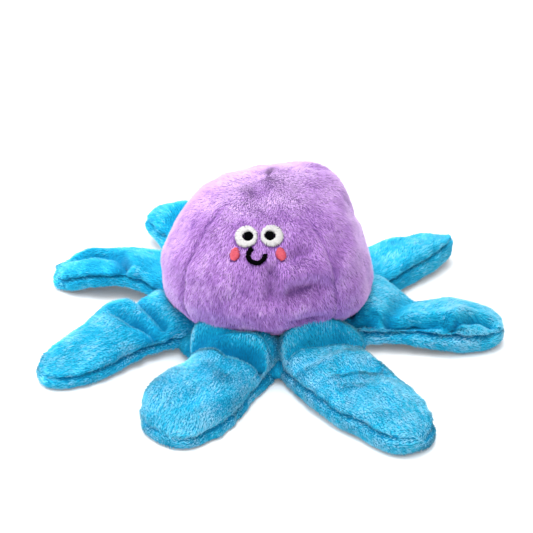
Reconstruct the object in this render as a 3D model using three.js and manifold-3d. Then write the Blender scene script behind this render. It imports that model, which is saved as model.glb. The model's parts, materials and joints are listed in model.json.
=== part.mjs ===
// Plush octopus, in millimetres, +Z up. The origin is on the floor under the middle of the hub, and the
// face looks along -Y. A head of four gores sits a little forward in a flat round hub, and eight stuffed
// arms fold up and down at the hub's edge. Bearings turn from +X towards +Y, in degrees.
import * as THREE from "three";
import { mergeVertices } from "three/addons/utils/BufferGeometryUtils.js";
import Module from "manifold-3d";

const wasm = await Module();
wasm.setup();

// Cloth and fit
const FABRIC = 1.6; // short plush with its backing
const CLEARANCE = 0.3; // between pieces that touch
const OVERRUN = 5; // how far a cutter passes what it cuts

// Head
const HEAD_RADIUS = 50.6;
const HEAD_RISE = 46; // from the widest ring up to the crown
const HEAD_DROP = 29; // from the widest ring down to the foot
const HEAD_FOOT = 7; // the foot's height above the floor
const HEAD_FORWARD = 9; // from the hub's middle
const GORE_COUNT = 4;
const GORE_STEPS = 6; // facets across one gore
const HEAD_RINGS = 12; // facets from foot to crown
// Where the stuffing pushes the cloth out or lets it sag: bearing and climb of the place's middle, how far
// it spreads, in degrees, and how far it stands out as a share of the way from the head's middle.
const HEAD_PLACES = [
  { bearing: 50, climb: 60, spread: 25, swellShare: 0.12 }, // shoulder at the back right
  { bearing: 185, climb: 48, spread: 26, swellShare: 0.06 }, // full left shoulder
  { bearing: -62, climb: 4, spread: 13, swellShare: -0.05 }, // sag beside the mouth
  { bearing: -25, climb: -8, spread: 20, swellShare: 0.03 }, // bulge above the right arm
  { bearing: 8, climb: 26, spread: 22, swellShare: -0.05 }, // flat of the right gore
];

// Hub under the head
const HUB_HEIGHT = 15;
const HUB_EDGE_RADIUS = 4; // rounding of its rim
const HUB_SEAM_HEIGHT = 3.4;
const HUB_STEPS = 40; // facets round the rim
const HUB_EDGE_STEPS = 3; // facets in each rounding

// Arms: the root of each is a half round that turns in a shallow seat in the hub's rim
const HINGE_RADIUS = 56; // from the hub's middle to the fold
const ROOT_RADIUS = 6.5;
const ROOT_STEPS = 2; // facet rows in the half round
const ARM_LENGTH = 60; // fold to tip
const ARM_HALF_WIDTH = 22;
const ARM_SWELL = 11; // above the seam at its fullest
const ARM_DEPTH = 9; // below the seam at its fullest
const ARM_LIFT = 60; // how far an arm folds up, in degrees
const ARM_STEPS = 8; // facet rows from fold to tip
const ARM_ARC_STEPS = 6; // facets across
const ROOT_CORNER_SHARE = 0.14; // how much the root's end is narrower than the fold
const WIDEST_SHARE = 0.5; // where the arm is widest
const SWELL_SHARE = 0.48; // where the stuffing is highest
const SWELL_SPREAD_SHARE = 0.42;
const CREASE_SHARE = 0.2; // where the cloth puckers across the neck
const CREASE_SPREAD_SHARE = 0.1;
const CREASE_DEPTH_SHARE = 0.26;
const TOP_ROUNDNESS = 0.85; // power that shapes an arm's section above its seam
const UNDERSIDE_ROUNDNESS = 0.45; // and below it, where the arm lies flatter
// Anticlockwise from the right. bearing is the fold's, swing turns the arm from it, and roll lifts the edge
// on the arm's left, all in degrees. The shares of length and width are of the sizes above, the neck's is of
// the arm's own width, and those of the sideways curl and the tip's lift are of the length above.
const ARMS = [
  { bearing: -7, swing: 0, roll: -8, shares: { length: 0.98, width: 0.9, neck: 0.95, curl: 0, tip: 0.08 } },
  { bearing: 38, swing: 5, roll: -6, shares: { length: 1, width: 0.86, neck: 0.92, curl: 0.02, tip: 0.12 } },
  { bearing: 79, swing: 3, roll: 3, shares: { length: 1, width: 0.88, neck: 0.9, curl: 0.02, tip: 0.03 } },
  { bearing: 119, swing: 9, roll: -5, shares: { length: 0.93, width: 0.88, neck: 0.88, curl: 0.06, tip: 0.17 } },
  { bearing: 159, swing: 6, roll: -7, shares: { length: 0.98, width: 0.9, neck: 0.9, curl: 0.05, tip: 0.05 } },
  { bearing: 205, swing: 9, roll: -4, shares: { length: 1.02, width: 0.97, neck: 0.95, curl: 0.04, tip: 0.02 } },
  { bearing: 255, swing: -2, roll: 0, shares: { length: 1, width: 1.02, neck: 0.92, curl: 0, tip: 0 } },
  { bearing: 304, swing: 2, roll: 5, shares: { length: 1.2, width: 0.95, neck: 0.98, curl: 0.02, tip: 0 } },
];

// Embroidered face, measured on the cloth from a point between the eyes
const FACE_CLIMB = 46.5; // how far up the head that point is, in degrees
const STITCH = 0.9; // thickness of the satin stitching
const EYE_RADIUS = 5.3;
const EYE_SPACING = 11.6;
const PUPIL_RADIUS = 2.4;
const PUPIL_INWARD = 1.2; // how far each pupil looks towards the other
const CHEEK_HALF_WIDTH = 2.3;
const CHEEK_HALF_HEIGHT = 2.8;
const CHEEK_SPACING = 21;
const CHEEK_DROP = 8;
const MOUTH_RADIUS = 3.6;
const MOUTH_WIDTH = 2;
const MOUTH_DROP = 8.9;
const MOUTH_START = 126; // the smile runs anticlockwise from here, in degrees
const MOUTH_SWEEP = 240;
const MOUTH_STEPS = 12;
const PATCH_STEPS = 16; // facets round an eye or a cheek

// Stitching that closes the head onto the hub
const THREAD_RADIUS = 0.6;
const THREAD_STEPS = 48;
const THREAD_SIDES = 5;

const QUARTER_TURN = Math.PI / 2;
const rad = THREE.MathUtils.degToRad;
const headMiddle = new THREE.Vector3(0, -HEAD_FORWARD, HEAD_FOOT + HEAD_DROP);
const goreHalfAngle = Math.PI / GORE_COUNT;
const goreShift = CLEARANCE / 2 / Math.sin(goreHalfAngle); // opens the seam between two gores
const headSeat = CLEARANCE + goreShift;
const rootSeat = ROOT_RADIUS + CLEARANCE / 2 + CLEARANCE;
const hubRadius = HINGE_RADIUS - rootSeat * Math.sin(rad(ARM_LIFT)); // clear of an arm folded right up

const purple = new THREE.MeshStandardMaterial({ color: 0xb48ad6, roughness: 0.9 });
const blue = new THREE.MeshStandardMaterial({ color: 0x2fb0e6, roughness: 0.9 });
const fibre = new THREE.MeshStandardMaterial({ color: 0xf1efe9, roughness: 1 });
const whiteThread = new THREE.MeshStandardMaterial({ color: 0xeeece8, roughness: 0.6 });
const blackThread = new THREE.MeshStandardMaterial({ color: 0x0b0a0c, roughness: 0.6 });
const pinkThread = new THREE.MeshStandardMaterial({ color: 0xe05a72, roughness: 0.6 });
const blueThread = new THREE.MeshStandardMaterial({ color: 0x1f8fc6, roughness: 0.7 });

const octopus = new THREE.Group();
const face = new THREE.Group();
face.position.y = -goreShift; // with the front gore
octopus.add(face);

function addPiece(name, geometry, material, parent = octopus) {
  const mesh = new THREE.Mesh(geometry, material);
  mesh.name = name;
  parent.add(mesh);
  return mesh;
}

function steps(count) {
  return Array.from({ length: count + 1 }, (_, i) => i / count);
}

// A closed surface from triangles of points. Triangles that have closed up to a line are left out, and the
// whole is turned to face outwards.
function surfaceOf(triangles) {
  const open = triangles.filter(
    ([a, b, c]) => !a.equals(b) && !b.equals(c) && !c.equals(a),
  );
  const volume = open.reduce((sum, [a, b, c]) => sum + a.dot(b.clone().cross(c)), 0);
  const facing = volume < 0 ? open.map(([a, b, c]) => [a, c, b]) : open;
  const soup = new THREE.BufferGeometry().setFromPoints(facing.flat());
  const surface = mergeVertices(soup);
  surface.computeVertexNormals();
  return surface;
}

function quad(a, b, c, d) {
  return [
    [a, b, c],
    [a, c, d],
  ];
}

// The triangles of a grid of points, row by row. Both ways round, they are parted along the same diagonal.
function gridFaces(grid, reversed = false) {
  const faces = [];
  for (let i = 0; i + 1 < grid.length; i++)
    for (let j = 0; j + 1 < grid[i].length; j++)
      faces.push(...quad(grid[i][j], grid[i + 1][j], grid[i + 1][j + 1], grid[i][j + 1]));
  return reversed ? faces.map(([a, b, c]) => [a, c, b]) : faces;
}

// The closed layer between two grids of the same size. A grid that wraps meets itself along its rows' ends.
function layerOf(outer, inner, wraps = false) {
  const faces = [...gridFaces(outer), ...gridFaces(inner, true)];
  const last = outer.length - 1;
  const end = outer[0].length - 1;
  for (let j = 0; j < end; j++) {
    faces.push(...quad(outer[0][j], outer[0][j + 1], inner[0][j + 1], inner[0][j]));
    faces.push(...quad(outer[last][j + 1], outer[last][j], inner[last][j], inner[last][j + 1]));
  }
  if (!wraps)
    for (let i = 0; i < last; i++) {
      faces.push(...quad(outer[i + 1][0], outer[i][0], inner[i][0], inner[i + 1][0]));
      faces.push(...quad(outer[i][end], outer[i + 1][end], inner[i + 1][end], inner[i][end]));
    }
  return surfaceOf(faces);
}

// Solids for cutting and joining
function solidOf(geometry) {
  const plain = geometry.clone();
  plain.deleteAttribute("normal");
  plain.deleteAttribute("uv");
  const merged = mergeVertices(plain);
  return new wasm.Manifold(
    new wasm.Mesh({
      numProp: 3,
      vertProperties: merged.attributes.position.array,
      triVerts: new Uint32Array(merged.index.array),
    }),
  );
}

function geometryOf(solid) {
  const mesh = solid.getMesh();
  const geometry = new THREE.BufferGeometry();
  geometry.setAttribute("position", new THREE.BufferAttribute(mesh.vertProperties, mesh.numProp));
  geometry.setIndex(new THREE.BufferAttribute(mesh.triVerts, 1));
  geometry.computeVertexNormals();
  return geometry;
}

// The way from the head's middle for a bearing and a climb, both in radians, before the head's own sizes.
function headWay(bearing, climb) {
  return new THREE.Vector3(
    Math.cos(climb) * Math.cos(bearing),
    Math.cos(climb) * Math.sin(bearing),
    Math.sin(climb),
  );
}

function headSwell(way) {
  return HEAD_PLACES.reduce((sum, place) => {
    const apart = 1 - way.dot(headWay(rad(place.bearing), rad(place.climb)));
    return sum + place.swellShare * Math.exp(-apart / (1 - Math.cos(rad(place.spread))));
  }, 0);
}

function headReach(way) {
  return new THREE.Vector3(HEAD_RADIUS, HEAD_RADIUS, way.z > 0 ? HEAD_RISE : HEAD_DROP);
}

function headNormal(way) {
  return way.clone().divide(headReach(way)).normalize();
}

// A point of the head's cloth, raised from its outer face: a stretched ball with its swells and dents.
function headPoint(way, raised) {
  const swollen = way.clone().multiply(headReach(way)).multiplyScalar(1 + headSwell(way));
  return swollen.add(headMiddle).addScaledVector(headNormal(way), raised);
}

// The head's cloth between two bearings, from foot to crown.
function headGrid(from, to, count, raised) {
  return steps(HEAD_RINGS).map((up) => {
    const climb = THREE.MathUtils.lerp(-QUARTER_TURN, QUARTER_TURN, up);
    return steps(count).map((along) =>
      headPoint(polar(THREE.MathUtils.lerp(from, to, along), climb, up), raised),
    );
  });
}

// headWay with the poles and the first bearing of a full turn met exactly.
function polar(bearing, climb, up) {
  if (up === 0 || up === 1) return new THREE.Vector3(0, 0, Math.sign(climb));
  return headWay(bearing === 2 * Math.PI ? 0 : bearing, climb);
}

function headBall(raised) {
  return surfaceOf(gridFaces(headGrid(0, 2 * Math.PI, GORE_COUNT * GORE_STEPS, raised)));
}

function addHead() {
  const names = ["right", "back", "left", "front"];
  names.forEach((name, i) => {
    const middle = 2 * goreHalfAngle * i;
    const [from, to] = [middle - goreHalfAngle, middle + goreHalfAngle];
    const outer = headGrid(from, to, GORE_STEPS, 0);
    const inner = headGrid(from, to, GORE_STEPS, -FABRIC);
    const gore = addPiece(`head_${name}_gore`, layerOf(outer, inner), purple);
    gore.position.set(goreShift * Math.cos(middle), goreShift * Math.sin(middle), 0);
  });
  addPiece("head_stuffing", headBall(-FABRIC - CLEARANCE), fibre);
}

// A point on the head's front, reached by measuring right and up on a flat card laid between the eyes.
function facePoint(right, up, raised) {
  const middle = headWay(-QUARTER_TURN, rad(FACE_CLIMB));
  const rightwards = new THREE.Vector3(1, 0, 0);
  const upwards = headNormal(middle).cross(rightwards);
  const onCard = headPoint(middle, 0).addScaledVector(rightwards, right).addScaledVector(upwards, up);
  const way = onCard.sub(headMiddle).divide(headReach(middle)).normalize();
  return headPoint(way, raised);
}

function patchOf(pointAt, rows, columns, wraps) {
  const grid = (raisedAt) =>
    steps(rows).map((row) =>
      steps(columns).map((column) => {
        const [right, up] = pointAt(row, wraps && column === 1 ? 0 : column);
        return facePoint(right, up, raisedAt(row, column));
      }),
    );
  const domed = (row, column) => {
    const across = wraps ? row : column;
    const crown = wraps ? 1 - across ** 2 : 4 * across * (1 - across);
    return CLEARANCE + STITCH * (1 + crown) / 2;
  };
  return layerOf(grid(domed), grid(() => CLEARANCE), wraps);
}

function addEye(side, name) {
  const eye = (side * EYE_SPACING) / 2;
  const pupil = eye - side * PUPIL_INWARD;
  const hole = PUPIL_RADIUS + CLEARANCE;
  const round = (turn) => [Math.cos(2 * Math.PI * turn), Math.sin(2 * Math.PI * turn)];
  const white = (out, turn) => {
    const [right, up] = round(turn);
    const inner = [pupil + hole * right, hole * up];
    const outer = [eye + EYE_RADIUS * right, EYE_RADIUS * up];
    return inner.map((value, i) => THREE.MathUtils.lerp(value, outer[i], out));
  };
  const black = (out, turn) => {
    const [right, up] = round(turn);
    return [pupil + PUPIL_RADIUS * out * right, PUPIL_RADIUS * out * up];
  };
  const cheek = (out, turn) => {
    const [right, up] = round(turn);
    const middle = (side * CHEEK_SPACING) / 2;
    return [middle + CHEEK_HALF_WIDTH * out * right, CHEEK_HALF_HEIGHT * out * up - CHEEK_DROP];
  };
  addPiece(`${name}_eye_white`, patchOf(white, 2, PATCH_STEPS, true), whiteThread, face);
  addPiece(`${name}_pupil`, patchOf(black, 2, PATCH_STEPS, true), blackThread, face);
  addPiece(`${name}_cheek`, patchOf(cheek, 2, PATCH_STEPS, true), pinkThread, face);
}

function addMouth() {
  const smile = (along, across) => {
    const turn = rad(MOUTH_START + MOUTH_SWEEP * along);
    const radius = MOUTH_RADIUS + MOUTH_WIDTH * (across - 0.5);
    return [radius * Math.cos(turn), radius * Math.sin(turn) - MOUTH_DROP];
  };
  addPiece("mouth", patchOf(smile, MOUTH_STEPS, 2, false), blackThread, face);
}

// A bearing's hinge: its middle at the height of the root's own radius, with X along the arm.
function hingeFrame(arm) {
  const bearing = rad(arm.bearing);
  const frame = new THREE.Group();
  frame.position.set(HINGE_RADIUS * Math.cos(bearing), HINGE_RADIUS * Math.sin(bearing), ROOT_RADIUS);
  frame.rotation.z = rad(arm.bearing + arm.swing);
  frame.updateMatrix();
  return frame;
}

// A rounded disc, set in from the hub's faces, with its axis upright.
function hubDisc(inset) {
  const radius = hubRadius - inset;
  const top = HUB_HEIGHT - inset;
  const edge = HUB_EDGE_RADIUS - inset;
  const profile = [new THREE.Vector2(0, inset)];
  for (const share of steps(HUB_EDGE_STEPS)) {
    const turn = -QUARTER_TURN * (1 - share);
    profile.push(new THREE.Vector2(radius - edge + edge * Math.cos(turn), inset + edge + edge * Math.sin(turn)));
  }
  for (const share of steps(HUB_EDGE_STEPS)) {
    const turn = QUARTER_TURN * share;
    profile.push(new THREE.Vector2(radius - edge + edge * Math.cos(turn), top - edge + edge * Math.sin(turn)));
  }
  profile.push(new THREE.Vector2(0, top));
  return new THREE.LatheGeometry(profile, HUB_STEPS).rotateX(QUARTER_TURN);
}

// The hub set in by some depth: the disc, less the seats of the head and of the arms' roots.
function hubSolid(inset) {
  let hub = solidOf(hubDisc(inset));
  hub = hub.subtract(solidOf(headBall(headSeat + inset)));
  for (const arm of ARMS) {
    const seat = new THREE.CylinderGeometry(
      rootSeat + inset,
      rootSeat + inset,
      2 * (ARM_HALF_WIDTH + OVERRUN),
      PATCH_STEPS,
    );
    hub = hub.subtract(solidOf(seat.applyMatrix4(hingeFrame(arm).matrix)));
  }
  return hub;
}

function addHub() {
  const skin = hubSolid(0).subtract(hubSolid(FABRIC));
  const side = 2 * (hubRadius + OVERRUN);
  const half = (bottom, top) =>
    solidOf(new THREE.BoxGeometry(side, side, top - bottom).translate(0, 0, (bottom + top) / 2));
  const above = half(HUB_SEAM_HEIGHT + CLEARANCE / 2, HUB_HEIGHT + OVERRUN);
  const below = half(-OVERRUN, HUB_SEAM_HEIGHT - CLEARANCE / 2);
  addPiece("hub_top", geometryOf(skin.intersect(above)), blue);
  addPiece("hub_underside", geometryOf(skin.intersect(below)), blue);
  addPiece("hub_stuffing", geometryOf(hubSolid(FABRIC + CLEARANCE)), fibre);
}

// The ring of stitches in the groove between the head and the hub's top.
function addStitching() {
  const height = HUB_HEIGHT + CLEARANCE + THREAD_RADIUS;
  const climb = Math.asin((height - headMiddle.z) / HEAD_DROP);
  const ring = steps(THREAD_STEPS).map((along) => {
    const bearing = 2 * Math.PI * along;
    const touching = headPoint(headWay(bearing, climb), headSeat + THREAD_RADIUS).sub(headMiddle);
    const radius = Math.hypot(touching.x, touching.y) + THREAD_RADIUS;
    return steps(THREAD_SIDES).map((around) => {
      const turn = 2 * Math.PI * around;
      const out = radius + THREAD_RADIUS * Math.cos(turn);
      return new THREE.Vector3(
        headMiddle.x + out * Math.cos(bearing),
        headMiddle.y + out * Math.sin(bearing),
        height + THREAD_RADIUS * Math.sin(turn),
      );
    });
  });
  ring[THREAD_STEPS] = ring[0];
  for (const section of ring) section[THREAD_SIDES] = section[0];
  addPiece("neck_stitching", surfaceOf(gridFaces(ring)), blueThread);
}

function bump(place, middle, spread) {
  return Math.exp(-(((place - middle) / spread) ** 2));
}

// One row across an arm, set in from its cloth: how far it is from the fold, its half width, the height of
// the stuffing above the seam and its depth below.
function rootRow(turn, arm, inset) {
  const radius = ROOT_RADIUS - inset;
  const fold = ARM_HALF_WIDTH * arm.shares.width * arm.shares.neck;
  const height = turn === 1 ? 0 : radius * Math.cos(QUARTER_TURN * turn);
  return {
    away: -radius * Math.sin(QUARTER_TURN * turn),
    half: fold * (1 - ROOT_CORNER_SHARE * turn ** 2) - inset,
    height,
    depth: height,
    outwards: 0,
  };
}

function armRow(share, arm, inset) {
  const outwards = Math.sin(QUARTER_TURN * share);
  const past = Math.max(0, (outwards - WIDEST_SHARE) / (1 - WIDEST_SHARE));
  const opening = Math.sin(QUARTER_TURN * Math.min(1, outwards / WIDEST_SHARE));
  const full = ARM_HALF_WIDTH * arm.shares.width * THREE.MathUtils.lerp(arm.shares.neck, 1, opening);
  const closing = share === 1 ? 0 : Math.sqrt(1 - past ** 2);
  const tip = share === 1 ? 0 : Math.sqrt(1 - outwards ** 4);
  const swelling = bump(outwards, SWELL_SHARE, SWELL_SPREAD_SHARE) - bump(0, SWELL_SHARE, SWELL_SPREAD_SHARE);
  const pucker = 1 - CREASE_DEPTH_SHARE * bump(outwards, CREASE_SHARE, CREASE_SPREAD_SHARE);
  const height = THREE.MathUtils.lerp(ROOT_RADIUS, ARM_SWELL, swelling) * pucker;
  const depth = THREE.MathUtils.lerp(ROOT_RADIUS, ARM_DEPTH, swelling);
  return {
    away: (ARM_LENGTH * arm.shares.length - inset) * outwards,
    half: (full - inset) * closing,
    height: (height - inset) * tip,
    depth: (depth - inset) * tip,
    outwards,
  };
}

// The points of one face of an arm, in the frame of its hinge: side is 1 for the top and -1 for the
// underside, which lies flat on the floor. Rows run from the root's end to the tip.
function armGrid(arm, side, inset, apart) {
  const rows = [
    ...steps(ROOT_STEPS).map((share) => rootRow(1 - share, arm, inset)),
    ...steps(ARM_STEPS).slice(1).map((share) => armRow(share, arm, inset)),
  ];
  const floor = -ROOT_RADIUS + inset;
  return rows.map((row) => {
    const easing = row.outwards ** 2 * (3 - 2 * row.outwards);
    const lift = ARM_LENGTH * arm.shares.tip * easing;
    const curl = ARM_LENGTH * arm.shares.curl * row.outwards ** 2;
    return steps(ARM_ARC_STEPS).map((share) => {
      const turn = Math.PI * (share - 0.5);
      const edge = share === 0 || share === 1;
      const across = row.half * Math.sin(turn);
      const rounding = edge ? 0 : Math.cos(turn) ** (side > 0 ? TOP_ROUNDNESS : UNDERSIDE_ROUNDNESS);
      const seam = lift + across * Math.tan(rad(arm.roll)) * easing;
      const body = side > 0 ? row.height : -row.depth;
      const height = Math.max(floor, seam + body * rounding + (side * apart) / 2);
      return new THREE.Vector3(row.away, across + curl, height);
    });
  });
}

function addArms() {
  ARMS.forEach((arm, i) => {
    const name = `arm_${i + 1}`;
    const frame = hingeFrame(arm);
    octopus.add(frame);
    for (const [side, label] of [
      [1, "top"],
      [-1, "underside"],
    ]) {
      const outer = armGrid(arm, side, 0, CLEARANCE);
      const inner = armGrid(arm, side, FABRIC, CLEARANCE);
      addPiece(`${name}_${label}`, layerOf(outer, inner), blue, frame);
    }
    const above = armGrid(arm, 1, FABRIC + CLEARANCE, 0);
    const beneath = armGrid(arm, -1, FABRIC + CLEARANCE, 0);
    addPiece(`${name}_stuffing`, surfaceOf([...gridFaces(above), ...gridFaces(beneath, true)]), fibre, frame);
  });
}

addHead();
addEye(-1, "left");
addEye(1, "right");
addMouth();
addHub();
addStitching();
addArms();

export default octopus;
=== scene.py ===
"""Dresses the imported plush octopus: stuffed cloth with a combed pile, and an embroidered face.

Everything is in metres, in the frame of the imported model: the origin is on the floor under the middle of
the hub, and the face looks along -Y.
"""
import json
import logging
import math
from dataclasses import dataclass, field
from enum import Enum

import bpy
import numpy as np
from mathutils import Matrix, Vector


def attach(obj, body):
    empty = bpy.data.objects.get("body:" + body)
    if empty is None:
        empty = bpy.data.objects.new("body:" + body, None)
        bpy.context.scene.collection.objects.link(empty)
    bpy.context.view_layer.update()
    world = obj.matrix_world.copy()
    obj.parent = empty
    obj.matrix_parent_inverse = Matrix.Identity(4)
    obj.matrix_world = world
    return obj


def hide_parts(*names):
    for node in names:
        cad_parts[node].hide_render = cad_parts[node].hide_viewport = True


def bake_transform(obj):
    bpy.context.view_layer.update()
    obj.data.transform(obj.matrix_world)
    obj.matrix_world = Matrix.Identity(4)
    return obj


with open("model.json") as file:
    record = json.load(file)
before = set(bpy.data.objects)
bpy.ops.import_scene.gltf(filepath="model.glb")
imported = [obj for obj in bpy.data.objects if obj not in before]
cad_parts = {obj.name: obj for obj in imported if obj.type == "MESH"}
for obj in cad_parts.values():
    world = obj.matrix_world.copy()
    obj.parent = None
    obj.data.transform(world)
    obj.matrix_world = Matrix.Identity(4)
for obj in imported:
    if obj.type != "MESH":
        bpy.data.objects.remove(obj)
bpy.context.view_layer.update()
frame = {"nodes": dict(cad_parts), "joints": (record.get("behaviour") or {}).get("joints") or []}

BODY = "toy"
PILE_MAP = "OFBake"
LOCK_SHARE = 0.45  # a length along the lie counts for this much, so that locks are longer than wide
FLOOR_GAP = 0.0002  # no strand comes nearer to the floor
UPWARDS = np.array([0.0, 0.0, 1.0])
FORWARDS = np.array([0.0, -1.0, 0.0])
log = logging.getLogger("octopus")

Array = np.ndarray
Colour = tuple[float, float, float]
Stations = tuple[tuple[float, float], ...]
Material = bpy.types.Material
Mesh = bpy.types.Mesh
Node = bpy.types.Node
NodeTree = bpy.types.NodeTree


class Side(Enum):
    """A side of the face, as someone who looks at it sees it."""

    LEFT = -1
    RIGHT = 1


# Arithmetic on arrays


def unit(vectors: Array) -> Array:
    """Vectors scaled to length one."""
    return vectors / np.maximum(np.linalg.norm(vectors, axis=-1, keepdims=True), 1e-12)


def ease(share: Array) -> Array:
    """The smooth step 3s^2 - 2s^3 of a share, held between 0 and 1."""
    held = np.clip(share, 0.0, 1.0)
    return held * held * (3.0 - 2.0 * held)


def bell(distance: Array, width: float) -> Array:
    """The bell curve exp(-(d / w)^2)."""
    return np.exp(-((distance / width) ** 2))


def turned_apart(degrees: Array, middle: float) -> Array:
    """How far angles lie from a middle one, from -180 to 180 degrees."""
    return (degrees - middle + 180.0) % 360.0 - 180.0


def mm(*numbers: float) -> Stations:
    """Pairs of numbers in millimetres as pairs in metres."""
    metres = [round(number / 1000.0, 6) for number in numbers]
    return tuple(zip(metres[::2], metres[1::2]))


def through(stations: Stations, place: Array) -> Array:
    """A smooth curve through (place, value) stations: cubic pieces whose slopes are the mean of their chords.

    Args:
        stations: places in rising order, with the value at each.
        place: where the curve is wanted; beyond the ends it keeps the end's value.

    Returns:
        The value at each place.
    """
    xs, ys = np.array(stations, float).T
    held = np.clip(place, xs[0], xs[-1])
    slopes = np.gradient(ys, xs)
    slopes[0] = slopes[-1] = 0.0
    i = np.clip(np.searchsorted(xs, held, side="right") - 1, 0, len(xs) - 2)
    gap = xs[i + 1] - xs[i]
    s = (held - xs[i]) / gap
    return (
        (2 * s**3 - 3 * s**2 + 1) * ys[i]
        + (s**3 - 2 * s**2 + s) * gap * slopes[i]
        + (3 * s**2 - 2 * s**3) * ys[i + 1]
        + (s**3 - s**2) * gap * slopes[i + 1]
    )


def rounded(place: Array, start: float, end: float, power: float = 2.0) -> Array:
    """A superellipse's quarter: 1 before start, falling to 0 at end as (1 - s^p)^(1/p)."""
    share = np.clip((place - start) / (end - start), 0.0, 1.0)
    return (1.0 - share**power) ** (1.0 / power)


@dataclass(frozen=True)
class Unevenness:
    """Gentle lumps that repeat nowhere: the sum of plane waves in random directions."""

    size: float
    seed: int
    waves: int = 18

    def at(self, points: Array) -> Array:
        """The height of the lumps at each point, mostly between -1 and 1.

        Args:
            points: places, in the unit of the size.

        Returns:
            One height for each point.
        """
        chance = np.random.default_rng(self.seed)
        directions = unit(chance.normal(size=(self.waves, 3)))
        pitch = self.size * chance.uniform(0.7, 1.5, self.waves)
        phases = chance.uniform(0.0, 2.0 * np.pi, self.waves)
        angles = points @ (2.0 * np.pi * directions / pitch[:, None]).T + phases
        return np.cos(angles).sum(axis=-1) / math.sqrt(self.waves)


@dataclass(frozen=True)
class Fold:
    """A valley pressed along a path over a surface, with a roll of cloth that leans over it on one side.

    The path's points are (along, across) places on the surface, in metres or in degrees. A negative depth
    makes a ridge.
    """

    path: Stations
    depth: float
    width: float
    roll: float = 0.0
    overhang: float = 0.0
    fades: bool = False  # whether it rises from nothing at each end
    fade: float = 0.35  # over which share of the path it does so
    closing: float = 0.007  # the depth at which the painted shade in the valley is full
    beside: float = 1.6  # widths from the valley to the top of the roll
    spread: float = 4.0  # widths that the roll reaches

    def reach(self, places: Array) -> tuple[Array, Array, Array]:
        """How each place lies to the path.

        Args:
            places: (along, across) of each point of the surface.

        Returns:
            The distance from the path, the same with a sign that is positive on its left, and the fold's
            strength there, which is less than 1 near the ends of a fold that fades.
        """
        nearest = np.full(places.shape[:-1], np.inf)
        signed = np.zeros(places.shape[:-1])
        passed = np.zeros(places.shape[:-1])
        stretches = len(self.path) - 1
        for i, (start, end) in enumerate(zip(np.array(self.path[:-1]), np.array(self.path[1:]))):
            run = end - start
            offset = places - start
            share = np.clip(offset @ run / (run @ run), 0.0, 1.0)
            gap = offset - share[..., None] * run
            distance = np.linalg.norm(gap, axis=-1)
            side = run[0] * offset[..., 1] - run[1] * offset[..., 0]
            closer = distance < nearest
            nearest = np.where(closer, distance, nearest)
            signed = np.where(closer, np.sign(side) * distance, signed)
            passed = np.where(closer, (i + share) / stretches, passed)
        strength = ease(np.minimum(passed, 1.0 - passed) / self.fade) if self.fades else 1.0
        return nearest, signed, strength

    def shade(self, places: Array) -> Array:
        """The painted shade in the valley, from 0 outside it to 1 at the bottom of a deep one."""
        nearest, _, strength = self.reach(places)
        return np.clip(self.depth / self.closing, 0.0, 1.0) * bell(nearest, self.width) * strength

    def press(self, places: Array) -> tuple[Array, Array]:
        """How far each place rises, which is negative in the valley, and its shift along and across.

        The valley is a bell of the distance times the depth, and the roll is a bell beside it.

        Args:
            places: (along, across) of each point of the surface.

        Returns:
            The rise and the shift of each point.
        """
        nearest, signed, strength = self.reach(places)
        near = nearest < self.spread * self.width
        roll = bell(signed - self.beside * self.width, self.width) * near * strength
        rise = self.roll * roll - self.depth * bell(nearest, self.width) * strength
        ends = np.array(self.path[-1]) - np.array(self.path[0])
        left = np.array([-ends[1], ends[0]]) / np.linalg.norm(ends)
        return rise, -self.overhang * roll[..., None] * left


# Meshes


def read(items: bpy.types.bpy_prop_collection, name: str, kind: type = np.float32) -> Array:
    """A property of three numbers of every item of a mesh, one row each.

    Args:
        items: the mesh's vertices, normals or triangles.
        name: the property.
        kind: the kind of number that it holds.

    Returns:
        One row of three numbers for each item.
    """
    values = np.empty(3 * len(items), kind)
    items.foreach_get(name, values)
    return values.reshape(-1, 3)


def fill_mesh(mesh: Mesh, vertices: Array, corners: Array, sizes: Array) -> None:
    """Puts whole arrays of vertices and faces into an empty mesh.

    Args:
        mesh: the empty mesh.
        vertices: one row of x, y, z each.
        corners: the vertex numbers of all the faces, one face after another.
        sizes: how many corners each face has.
    """
    mesh.vertices.add(len(vertices))
    mesh.vertices.foreach_set("co", np.ascontiguousarray(vertices, np.float32).ravel())
    mesh.loops.add(len(corners))
    mesh.loops.foreach_set("vertex_index", np.ascontiguousarray(corners, np.int32))
    mesh.polygons.add(len(sizes))
    starts = np.concatenate(([0], np.cumsum(sizes)[:-1]))
    mesh.polygons.foreach_set("loop_start", starts.astype(np.int32))
    mesh.update(calc_edges=True)
    mesh.validate()
    mesh.shade_smooth()


def triangle_mesh(name: str, vertices: Array, triangles: Array) -> Mesh:
    """A mesh of triangles.

    Args:
        name: the mesh's name.
        vertices: one row of x, y, z each.
        triangles: one row of three vertex numbers each.

    Returns:
        The mesh.
    """
    mesh = bpy.data.meshes.new(name)
    fill_mesh(mesh, vertices, triangles.ravel(), np.full(len(triangles), 3))
    return mesh


def add_object(name: str, data: bpy.types.ID) -> bpy.types.Object:
    """A new object in the scene, at the origin.

    Args:
        name: its name.
        data: its mesh, lamp or camera.

    Returns:
        The object.
    """
    item = bpy.data.objects.new(name, data)
    bpy.context.scene.collection.objects.link(item)
    return item


def piece_of(mesh: Mesh, material: Material) -> bpy.types.Object:
    """Links a mesh into the scene as a piece with a material, and reports it.

    Args:
        mesh: the piece's mesh, whose name it takes.
        material: its material.

    Returns:
        The piece.
    """
    piece = add_object(mesh.name, mesh)
    mesh.materials.append(material)
    log.info("%s: %d faces", mesh.name, len(mesh.polygons))
    return piece


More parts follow.
